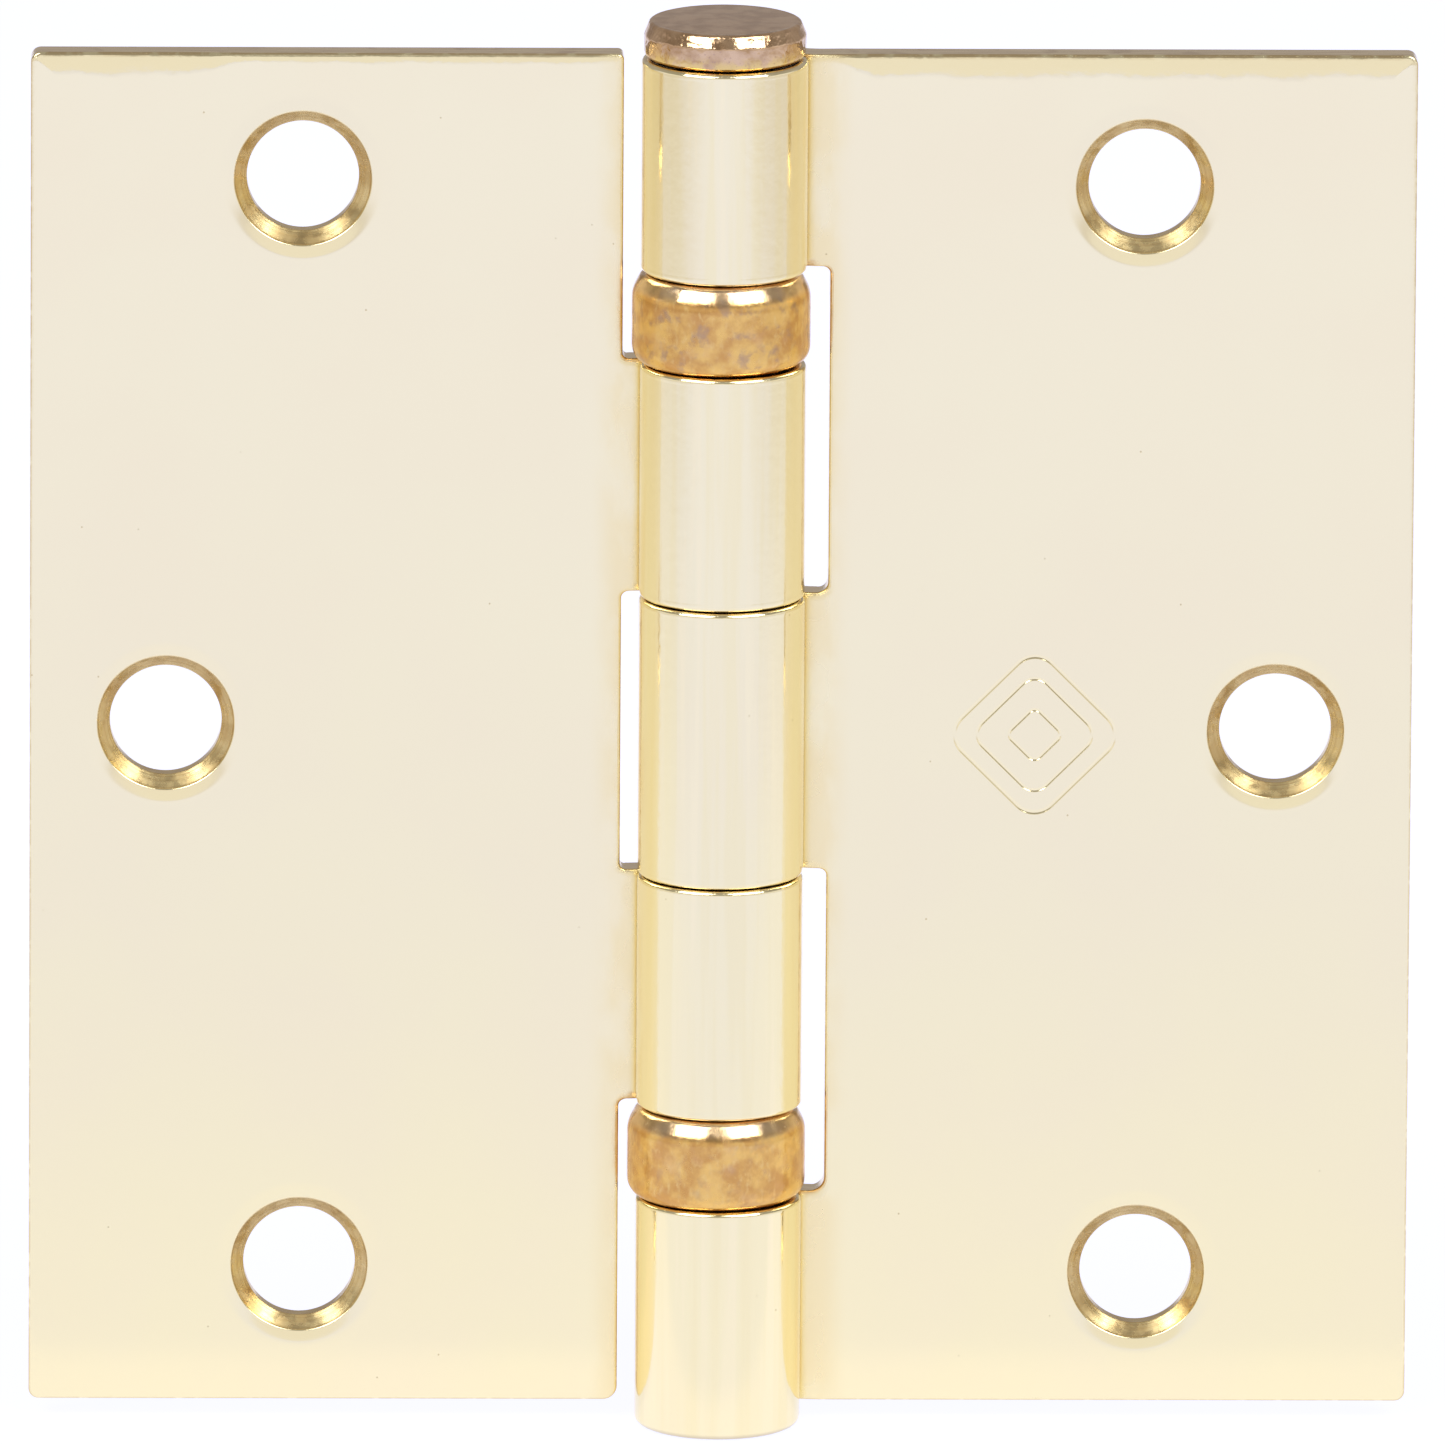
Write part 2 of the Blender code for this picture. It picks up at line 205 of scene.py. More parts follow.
class Recipe:
    """One metal's material, built from nodes on the object's own coordinates."""

    def __init__(self, name):
        self.material = bpy.data.materials.new(name)
        self.material.use_nodes = True
        self.tree = self.material.node_tree
        self.shader = self.tree.nodes["Principled BSDF"]
        self.shader.inputs["Metallic"].default_value = 1.0
        self.place = self.node("ShaderNodeTexCoord").outputs["Object"]

    def node(self, kind, inputs=(), **settings):
        made = self.tree.nodes.new(kind)
        for key, value in settings.items():
            setattr(made, key, value)
        for key, value in dict(inputs).items():
            self.feed(made.inputs[key], value)
        return made

    def feed(self, socket, value):
        if isinstance(value, bpy.types.NodeSocket):
            self.tree.links.new(value, socket)
        else:
            socket.default_value = value

    def scaled(self, size, stretch=(1, 1, 1), shift=0.0):
        scale = [1 / (size * s) for s in stretch]
        inputs = {"Vector": self.place, "Scale": scale, "Location": (shift, shift, shift)}
        return {"Vector": self.node("ShaderNodeMapping", inputs).outputs[0], "Scale": 1.0}

    def cloud(self, size, detail=3.0, stretch=(1, 1, 1), shift=0.0):
        """Noise about 0.5, with features of this size in metres, drawn out by stretch."""
        inputs = self.scaled(size, stretch, shift) | {"Detail": detail}
        return self.node("ShaderNodeTexNoise", inputs).outputs["Fac"]

    def spots(self, size):
        """Distance from the middle of scattered cells, in cells of this size."""
        return self.node("ShaderNodeTexVoronoi", self.scaled(size)).outputs["Distance"]

    def rise(self, value, low, high, to_low=0.0, to_high=1.0):
        """A smooth change from to_low where the value is low to to_high where it is high."""
        inputs = {"Value": value, "From Min": low, "From Max": high, "To Min": to_low, "To Max": to_high}
        return self.node("ShaderNodeMapRange", inputs, interpolation_type="SMOOTHSTEP").outputs[0]

    def number(self, operation, first, second=0.0):
        return self.node("ShaderNodeMath", {0: first, 1: second}, operation=operation).outputs[0]

    def times(self, first, second):
        return self.number("MULTIPLY", first, second)

    def mix(self, factor, first, second):
        colours = [(*c, 1.0) if isinstance(c, tuple) else c for c in (first, second)]
        inputs = {0: factor, 6: colours[0], 7: colours[1]}
        return self.node("ShaderNodeMix", inputs, data_type="RGBA").outputs[2]

    def stain(self, tone, where, share, colour):
        """The tone with this share of the colour over it."""
        return self.mix(self.times(where, share), tone, colour)

    def axis(self, name):
        return self.node("ShaderNodeSeparateXYZ", {0: self.place}).outputs[name]

    def bump(self, height, depth, before=None):
        """A normal for this height map, on top of the bump before it."""
        inputs = {"Height": height, "Distance": depth}
        if before:
            inputs["Normal"] = before
        return self.node("ShaderNodeBump", inputs).outputs[0]

    def finish(self, colour, roughness, normal):
        self.feed(self.shader.inputs["Base Color"], colour)
        self.feed(self.shader.inputs["Roughness"], roughness)
        self.feed(self.shader.inputs["Normal"], normal)
        return self.material


def polished_brass():
    """Bright plated brass: clear reflections, roll marks on the barrel, specks, edges rubbed brown, a painted
    golden reflection in the bend beside the barrel, and painted shade at the barrel's foot.
    """
    made = Recipe("Polished brass")
    reach = made.number("ABSOLUTE", made.axis("X"))
    barrel = made.rise(reach, 6.2 * MM, 5.2 * MM)
    near_barrel, behind = made.rise(reach, 8.6 * MM, 6.6 * MM), made.rise(made.axis("Y"), 0.3 * MM, 0.9 * MM)
    bend = made.times(near_barrel, behind)
    wear = made.node("ShaderNodeAttribute", attribute_name="wear").outputs["Fac"]
    height = made.rise(made.axis("Z"), LEAF_BOTTOM, LEAF_TOP)
    tone = made.mix(height, (0.967, 0.857, 0.508), (0.962, 0.859, 0.536))
    blush = made.rise(made.cloud(14 * MM, 3), 0.35, 0.7)
    tone = made.stain(tone, blush, 0.6, (0.957, 0.836, 0.522))
    # Painted reflection and shade: patchy golden colour in the bend beside the barrel stands in for the
    # barrel's golden reflection in the leaf.
    bend_reflection_patches = made.rise(made.cloud(3 * MM, 4, stretch=(1, 1, 2), shift=5.0), 0.3, 0.6)
    tone = made.stain(tone, bend, bend_reflection_patches, (0.94, 0.79, 0.43))
    marks = made.cloud(1.3 * MM, 4, stretch=(1, 1, 30))
    tone = made.stain(tone, barrel, made.rise(marks, 0.46, 0.62), (0.955, 0.838, 0.485))
    tone = made.stain(tone, barrel, made.rise(marks, 0.46, 0.36), (0.985, 0.868, 0.530))
    pits = made.rise(made.spots(1.5 * MM), 0.055, 0.03)
    pits = made.times(pits, made.rise(made.cloud(5 * MM, 1, shift=7.0), 0.6, 0.64))
    tone = made.stain(tone, pits, 0.5, (0.50, 0.36, 0.15))
    rub = made.times(made.rise(wear, 0.8, 1.0), made.rise(made.cloud(0.9 * MM, 3), 0.33, 0.52))
    tone = made.stain(tone, rub, 0.7, (0.66, 0.48, 0.23))
    # Painted shade: the barrel's foot is darkened brown-grey where it stands on the floor.
    foot = made.rise(made.axis("Z"), BARREL_BOTTOM + 0.45 * MM, BARREL_BOTTOM + 0.1 * MM)
    tone = made.stain(tone, foot, 0.6, (0.52, 0.43, 0.30))
    roughness = made.rise(made.cloud(3 * MM, 4), 0.25, 0.75, 0.09, 0.14)
    roughness = made.number("ADD", roughness, made.times(bend, 0.16))
    normal = made.bump(made.cloud(7 * MM, 1), 0.010 * MM)
    normal = made.bump(made.cloud(0.5 * MM, 2), 0.0006 * MM, normal)
    normal = made.bump(made.times(marks, barrel), 0.02 * MM, normal)
    uneven = made.times(made.cloud(0.7 * MM, 3, shift=1.0), made.rise(wear, 0.05, 0.6))
    normal = made.bump(uneven, 0.022 * MM, normal)
    normal = made.bump(pits, -0.004 * MM, normal)
    return made.finish(tone, roughness, normal)


def cut_edge():
    """The sheared edge under the same plating: duller, browner and streaked along its length."""
    made = Recipe("Sheared brass edge")
    streaks = made.cloud(1.2 * MM, 4, stretch=(2.5, 0.11, 2.5))
    tone = made.mix(made.rise(streaks, 0.35, 0.65), (0.76, 0.59, 0.35), (0.97, 0.82, 0.52))
    worn = made.rise(made.cloud(2.2 * MM, 3, shift=3.0), 0.55, 0.68)
    tone = made.stain(tone, worn, 0.5, (0.55, 0.39, 0.22))
    roughness = made.rise(streaks, 0.3, 0.7, 0.10, 0.20)
    normal = made.bump(streaks, 0.012 * MM)
    return made.finish(tone, roughness, normal)


def countersink_brass():
    """The turned countersink: fine rings round the hole's axis, with dull and bright patches."""
    made = Recipe("Turned brass")
    ring = made.node("ShaderNodeAttribute", attribute_name="ring").outputs["Fac"]
    inputs = {"W": ring, "Scale": 14.0, "Detail": 3.0}
    rings = made.node("ShaderNodeTexNoise", inputs, noise_dimensions="1D").outputs["Fac"]
    tone = made.mix(made.rise(rings, 0.3, 0.7), (0.70, 0.53, 0.25), (0.84, 0.69, 0.36))
    dull = made.rise(made.cloud(1.6 * MM, 3, shift=2.0), 0.42, 0.62)
    tone = made.stain(tone, dull, 0.6, (0.60, 0.43, 0.19))
    roughness = made.rise(made.cloud(0.8 * MM, 3), 0.3, 0.7, 0.2, 0.34)
    normal = made.bump(rings, 0.003 * MM)
    normal = made.bump(made.cloud(0.9 * MM, 2), 0.012 * MM, normal)
    return made.finish(tone, roughness, normal)


def rose_copper():
    """The pin's rose copper plating. The head's rim is hammered, with a golden lower edge."""
    made = Recipe("Rose copper")
    x, y, z = (made.axis(name) for name in "XYZ")
    square = made.number("ADD", made.times(x, x), made.times(y, y))
    rim = made.rise(made.number("SQRT", square), 4.5 * MM, 4.9 * MM)
    tone = made.mix(made.rise(made.cloud(1.3 * MM, 4), 0.35, 0.65), (0.53, 0.34, 0.185), (0.72, 0.50, 0.30))
    head_bottom = PIN_TOP - PIN_HEAD_HEIGHT
    low = made.rise(z, head_bottom + 1.1 * MM, head_bottom + 0.3 * MM)
    gold = made.rise(made.cloud(0.9 * MM, 3, shift=5.0), 0.36, 0.52)
    gold = made.times(gold, made.times(low, rim))
    tone = made.stain(tone, gold, 0.85, (0.82, 0.60, 0.22))
    grain = made.times(made.rise(made.spots(0.32 * MM), 0.25, 0.05), rim)
    tone = made.stain(tone, grain, 0.5, (0.42, 0.28, 0.22))
    roughness = made.rise(made.cloud(0.7 * MM, 4), 0.3, 0.7, 0.07, 0.18)
    hammered = made.times(made.cloud(0.8 * MM, 2, shift=8.0), rim)
    normal = made.bump(hammered, 0.09 * MM)
    normal = made.bump(made.cloud(1.6 * MM, 2), 0.015 * MM, normal)
    normal = made.bump(made.cloud(0.22 * MM, 3), 0.002 * MM, normal)
    return made.finish(tone, roughness, normal)


def mottled_bronze():
    """The collars: bronze with gold patches, fine scuffs, grey-violet stains, and a shoulder painted paler so
    that the highlights on it look pale.
    """
    made = Recipe("Mottled bronze")
    patches = made.rise(made.cloud(1.5 * MM, 6), 0.36, 0.64)
    tone = made.mix(patches, (0.64, 0.345, 0.10), (0.85, 0.535, 0.155))
    scuffs = made.cloud(0.42 * MM, 5, stretch=(0.8, 0.8, 1.5), shift=6.0)
    tone = made.mix(made.rise(scuffs, 0.5, 0.8, 0.0, 0.6), tone, (0.85, 0.59, 0.23))
    stains = made.rise(made.cloud(1.0 * MM, 5, shift=4.0), 0.51, 0.72)
    stains = made.times(stains, made.rise(made.axis("Z"), -0.02, 0.02, 0.3, 0.7))
    tone = made.mix(stains, tone, (0.43, 0.28, 0.18))
    rosy = made.rise(made.cloud(1.4 * MM, 5, shift=9.0), 0.5, 0.7)
    tone = made.stain(tone, rosy, 0.35, (0.72, 0.43, 0.20))
    # Painted highlight: each collar's shoulder is painted paler so that the lamp highlights on it look pale.
    for base in BEARING_BASES.values():
        height = made.number("SUBTRACT", made.axis("Z"), base)
        above = made.rise(height, SHELL_TOP - 1.3 * MM, SHELL_TOP - 0.7 * MM)
        below = made.rise(height, SHELL_TOP + 0.2 * MM, SHELL_TOP - 0.1 * MM)
        shoulder = made.times(above, below)
        tone = made.stain(tone, shoulder, 0.55, (0.75, 0.61, 0.45))
    roughness = made.rise(made.cloud(0.8 * MM, 4, shift=4.0), 0.35, 0.7, 0.15, 0.28)
    normal = made.bump(made.cloud(1.3 * MM, 3), 0.035 * MM)
    normal = made.bump(scuffs, 0.003 * MM, normal)
    normal = made.bump(stains, -0.003 * MM, normal)
    return made.finish(tone, roughness, normal)


def bearing_steel():
    """The races and balls: ground steel with a thin film of grease."""
    made = Recipe("Bearing steel")
    film = made.rise(made.cloud(0.9 * MM, 3), 0.4, 0.65)
    tone = made.mix(film, (0.62, 0.62, 0.63), (0.46, 0.43, 0.38))
    roughness = made.rise(film, 0.0, 1.0, 0.12, 0.3)
    normal = made.bump(made.cloud(0.25 * MM, 2, stretch=(1, 1, 0.2)), 0.001 * MM)
    return made.finish(tone, roughness, normal)


# ---- the rolled leaves


class Bend:
    """Where a place on the flat blank goes when the knuckles are rolled.

    A place on the blank is (along, height). Along runs from the leaf's outer edge to the end of the roll.
    """

    def __init__(self, side, inner_x):
        self.side = side
        self.inner_x = inner_x
        self.middle_y = LEAF_BACK_Y - HALF
        self.roll_radius = KNUCKLE_RADIUS - HALF
        self.start = LEAF_OUTER_X - inner_x
        square = inner_x**2 + self.middle_y**2 - self.roll_radius**2
        self.reverse_radius = square / (2 * (self.roll_radius - self.middle_y))
        self.centre_y = self.middle_y + self.reverse_radius
        self.join_angle = math.atan2(self.centre_y, inner_x)
        self.roll_start = self.start + self.reverse_radius * (math.pi / 2 - self.join_angle)
        self.end = self.roll_start + self.roll_radius * (math.radians(ROLL_END_DEG) - self.join_angle)

    def at(self, along):
        """The middle of the sheet there, its direction along the blank and its front normal."""
        if along <= self.start:
            point = Vector((LEAF_OUTER_X - along, self.middle_y, 0))
            direction = Vector((-1, 0, 0))
            front = Vector((0, -1, 0))
        elif along <= self.roll_start:
            turn = (along - self.start) / self.reverse_radius
            front = Vector((-math.sin(turn), -math.cos(turn), 0))
            direction = Vector((-math.cos(turn), math.sin(turn), 0))
            point = Vector((self.inner_x, self.centre_y, 0)) + front * self.reverse_radius
        else:
            angle = self.join_angle + (along - self.roll_start) / self.roll_radius
            front = Vector((-math.cos(angle), -math.sin(angle), 0))
            direction = Vector((-math.sin(angle), math.cos(angle), 0))
            point = -front * self.roll_radius
        for vector in (point, direction, front):
            vector.x *= self.side
        return point, direction, front


class Outline:
    """The blank's outline as points that know where they go when it shrinks inwards by an inset.

    Each point also has its share of the die roll and its rounding at the back.
    """

    def __init__(self):
        self.places = []
        self.shares = []
        self.roundings = []

    def add(self, place, share, rounding):
        self.places.append(place)
        self.shares.append(share)
        self.roundings.append(rounding)
        return len(self.places) - 1

    def on_edge(self, along, height, inwards, share, rounding):
        """A point on a straight edge with this inward direction."""

        def place(inset):
            return (along + inwards[0] * inset, height + inwards[1] * inset), inwards

        return self.add(place, share, rounding)

    def corner(self, along, height, incoming, radius, outer, shares, roundings):
        """A rounded corner of the plate, or a fillet in a notch, after an edge in the incoming direction."""
        before = Vector((-incoming[1], incoming[0]))
        after = -Vector(incoming) if outer else Vector(incoming)
        corner = Vector((along, height))

        def place_at(turn):
            inwards = before * math.cos(turn) + after * math.sin(turn)

            def place(inset):
                if outer:
                    left = max(radius - inset, LEAST_CORNER)
                    spot = corner + (before + after) * (inset + left) - inwards * left
                else:
                    spot = corner - (before + after) * radius + inwards * (radius + inset)
                return tuple(spot), tuple(inwards)

            return place

        for i in range(CORNER_POINTS):
            part = i / (CORNER_POINTS - 1)
            blend = smooth(part, 0, 1)
            self.add(place_at(part * math.pi / 2), between(*shares, blend), between(*roundings, blend))


def spaced(first, last, step):
    count = max(1, math.ceil(abs(last - first) / step))
    return [first + (last - first) * i / count for i in range(count + 1)]


RIGHT, UP, LEFT, DOWN = (1, 0), (0, 1), (-1, 0), (0, -1)


def leaf_outline(bend, knuckles, top_share, slot_fillets, inner_corners):
    """The blank's outline, counterclockwise from its lower outer corner.

    top_share gives the die roll's share on the top edge as a function of along. It also returns, for each
    knuckle, the pairs of points that face each other across it.
    """
    outline = Outline()
    crossings = []
    fillet_end = bend.start + FILLET_ZONE
    across = spaced(fillet_end + 0.05 * MM, bend.end - ROLL_END_CLEARANCE, STATION_STEP)
    plate = spaced(OUTER_CORNER + CORNER_CLEARANCE, bend.start - BEND_LEAD - BEND_STEP, PLATE_STEP)
    bending = spaced(bend.start - BEND_LEAD, fillet_end - BEND_STEP / 2, BEND_STEP)
    thin, round_ = PLATE_BACK_ROUNDING, KNUCKLE_BACK_ROUNDING
    both_thin = (thin, thin)
    plain = (PLAIN_EDGE_SHARE, PLAIN_EDGE_SHARE)
    rolled = (KNUCKLE_EDGE_SHARE, KNUCKLE_EDGE_SHARE)

    def drop(along):
        """How far below the leaf's lower edge the lowest knuckle reaches."""
        return BARREL_DROP * smooth(along, bend.roll_start - 0.6 * MM, bend.roll_start + 1.4 * MM)

    def rounding_at(along, widest):
        return between(thin, widest, smooth(along, bend.start - 1 * MM, bend.start + 2 * MM))

    def share_at(along, share):
        return between(share, KNUCKLE_EDGE_SHARE, smooth(along, bend.start - 3 * MM, bend.start))

    def run(places, height_at, inwards, share_of, widest=round_):
        return [
            outline.on_edge(along, height_at(along), inwards, share_of(along), rounding_at(along, widest))
            for along in places
        ]

    def level(height):
        return lambda along: height

    def low_edge(along):
        return -drop(along)

    def plain_share(along):
        return share_at(along, PLAIN_EDGE_SHARE)

    def high_share(along):
        return share_at(along, top_share(along))

    def rolled_share(_):
        return KNUCKLE_EDGE_SHARE

    def after_fillet(radius):
        return spaced(bend.start + radius + 0.12 * MM, fillet_end - 0.08 * MM, FILLET_STEP)

    def side(first, last, inwards, along):
        for height in spaced(first, last, SIDE_STEP):
            outline.on_edge(along, height, inwards, PLAIN_EDGE_SHARE, thin)

    outline.corner(0, 0, DOWN, OUTER_CORNER, True, plain, both_thin)
    if knuckles[0][0] <= 0:
        run(plate + bending, low_edge, UP, plain_share, BARREL_FOOT_ROUNDING)
        lower = run(across, low_edge, UP, rolled_share, BARREL_FOOT_ROUNDING)
    else:
        run(plate, low_edge, UP, plain_share)
        outline.corner(bend.start, 0, RIGHT, inner_corners[0], True, plain, both_thin)
        side(inner_corners[0] + CORNER_CLEARANCE, knuckles[0][0] - SLOT_HEAD_CLEARANCE, LEFT, bend.start)
    for i, (bottom, top) in enumerate(knuckles):
        at_top = top > LEAF_HEIGHT - 0.1 * MM
        foot = round_
        if bottom > 0:
            foot_height = bottom - GAP_CLOSING
            shares = (PLAIN_EDGE_SHARE, KNUCKLE_EDGE_SHARE)
            outline.corner(bend.start, foot_height, UP, FILLET_BELOW_KNUCKLE, False, shares, (thin, round_))
            run(after_fillet(FILLET_BELOW_KNUCKLE), level(foot_height), UP, rolled_share)
            lower = run(across, level(foot_height), UP, rolled_share)
        else:
            foot_height = -drop(bend.end)
            foot = BARREL_FOOT_ROUNDING
        if not at_top:
            top += GAP_CLOSING
        outline.corner(bend.end, foot_height, RIGHT, ROLL_CORNER, True, rolled, (foot, round_))
        outline.corner(bend.end, top, UP, ROLL_CORNER, True, rolled, (round_, round_))
        upper_share = high_share if at_top else rolled_share
        upper = run(across[::-1], level(top), DOWN, upper_share)
        crossings.append(list(zip(lower, upper[::-1])))
        if at_top:
            run(bending[::-1] + plate[::-1], level(LEAF_HEIGHT), DOWN, high_share)
            break
        fillet = slot_fillets[i]
        run(after_fillet(fillet)[::-1], level(top), DOWN, rolled_share)
        shares = (KNUCKLE_EDGE_SHARE, PLAIN_EDGE_SHARE)
        outline.corner(bend.start, top, LEFT, fillet, False, shares, (round_, thin))
        side_bottom = top + SLOT_FOOT_CLEARANCE
        if i + 1 < len(knuckles):
            side(side_bottom, knuckles[i + 1][0] - SLOT_HEAD_CLEARANCE, LEFT, bend.start)
        else:
            side(side_bottom, LEAF_HEIGHT - inner_corners[1] - CORNER_CLEARANCE, LEFT, bend.start)
            outline.corner(bend.start, LEAF_HEIGHT, UP, inner_corners[1], True, plain, both_thin)
            run(plate[::-1], level(LEAF_HEIGHT), DOWN, top_share)
    corner_shares = (top_share(OUTER_CORNER), PLAIN_EDGE_SHARE)
    outline.corner(0, LEAF_HEIGHT, LEFT, OUTER_CORNER, True, corner_shares, both_thin)
    side(LEAF_HEIGHT - OUTER_CORNER - CORNER_CLEARANCE, OUTER_CORNER + CORNER_CLEARANCE, RIGHT, 0)
    return outline, crossings


FACE, EDGE, TURNED = 0, 1, 2


def die_roll(width):
    """(inset, drop) pairs down to the edge: the slope comes quickly, then stays nearly even."""
    pairs = []
    for part in DIE_ROLL_PARTS + (0.0,):
        travelled = 1 - part
        drop = travelled - (1 - (1 - travelled) ** 5) / 5
        pairs.append((width * part, drop * width * DIE_ROLL_SLOPE))
    return pairs


def quarter(steps=5):
    return [math.pi / 2 * i / steps for i in range(steps + 1)]


def edge_section(share, back_rounding):
    """The leaf's edge in section, from its front to its back, as (inset, offset) points and their looks."""
    width = DIE_ROLL_WIDTH * share
    points = [(width + FLAT_MARGIN, HALF), (width, HALF)]
    rolled = die_roll(width)
    points += [(max(inset, FRONT_ROUNDING * 1.15), HALF - drop) for inset, drop in rolled[:-1]]
    corner = HALF - rolled[-1][1]
    for angle in quarter():
        inset = FRONT_ROUNDING * (1 - math.sin(angle))
        points.append((inset, corner - FRONT_ROUNDING * (1 - math.cos(angle))))
    faces = len(points) - 1
    wall_end = max(-0.25 * MM, back_rounding + 0.05 * MM - HALF)
    points += [(0.0, wall_end + 0.3 * MM), (WALL_LEAN, wall_end)]
    for angle in quarter():
        inset = WALL_LEAN + back_rounding * (1 - math.cos(angle))
        points.append((inset, -HALF + back_rounding * (1 - math.sin(angle))))
    points.append((back_rounding + BACK_MARGIN, -HALF))
    looks = [FACE] * faces + [EDGE] * 3
    looks += [FACE] * (len(points) - 1 - len(looks))
    return points, looks


def hole_section():
    """A countersunk hole in section, from front to back, as (radius, offset) points and their looks."""
    lip = COUNTERSINK_LIP
    rim = COUNTERSINK_RADIUS + lip / 2
    points = [(rim + DIMPLE_WIDTH + FLAT_MARGIN, HALF), (rim + DIMPLE_WIDTH, HALF)]
    points += [(rim + inset, HALF - drop) for inset, drop in die_roll(DIMPLE_WIDTH)]
    surface = points[-1][1]
    points += [(rim - lip * 0.35, surface - lip * 0.08), (rim - lip * 0.7, surface - lip * 0.4)]
    faces = len(points) - 1
    depth = (COUNTERSINK_RADIUS - HOLE_RADIUS) / math.tan(COUNTERSINK_HALF_ANGLE)
    top, bottom = surface - lip, HALF - depth
    top_radius, bottom_radius = rim - lip, HOLE_RADIUS + 0.02 * MM
    for i in range(CONE_STEPS + 1):
        part = i / CONE_STEPS
        points.append((between(top_radius, bottom_radius, part), between(top, bottom, part)))
    points += [(HOLE_RADIUS, bottom - 0.03 * MM), (HOLE_RADIUS, bottom - 0.1 * MM)]
    back = HOLE_BACK_ROUNDING
    points += [(HOLE_RADIUS + back * (1 - math.cos(a)), -HALF + back * (1 - math.sin(a))) for a in quarter(4)]
    points.append((HOLE_RADIUS + back + BACK_MARGIN, -HALF))
    looks = [FACE] * faces + [TURNED] * (CONE_STEPS + 4)
    looks += [FACE] * (len(points) - 1 - len(looks))
    return points, looks


def section_normals(points):
    """The (outwards, front) normal at each point of a section that runs outwards and then to the back.

    Long straight stretches keep their own normal, so that only the roundings between them look round.
    """
    normals = []
    for (inset_a, offset_a), (inset_b, offset_b) in zip(points, points[1:]):
        across = Vector((offset_a - offset_b, inset_a - inset_b))
        normals.append(across * across.length)
    joined = [normals[0]] + [a + b for a, b in zip(normals, normals[1:])] + [normals[-1]]
    return [normal.normalized() for normal in joined]


def inside(point, polygon):
    """Whether the point is inside the polygon, by counting the edges to its right."""
    within = False
    for a, b in zip(polygon, polygon[1:] + polygon[:1]):
        if (a.y > point.y) != (b.y > point.y):
            if point.x < a.x + (point.y - a.y) / (b.y - a.y) * (b.x - a.x):
                within = not within
    return within


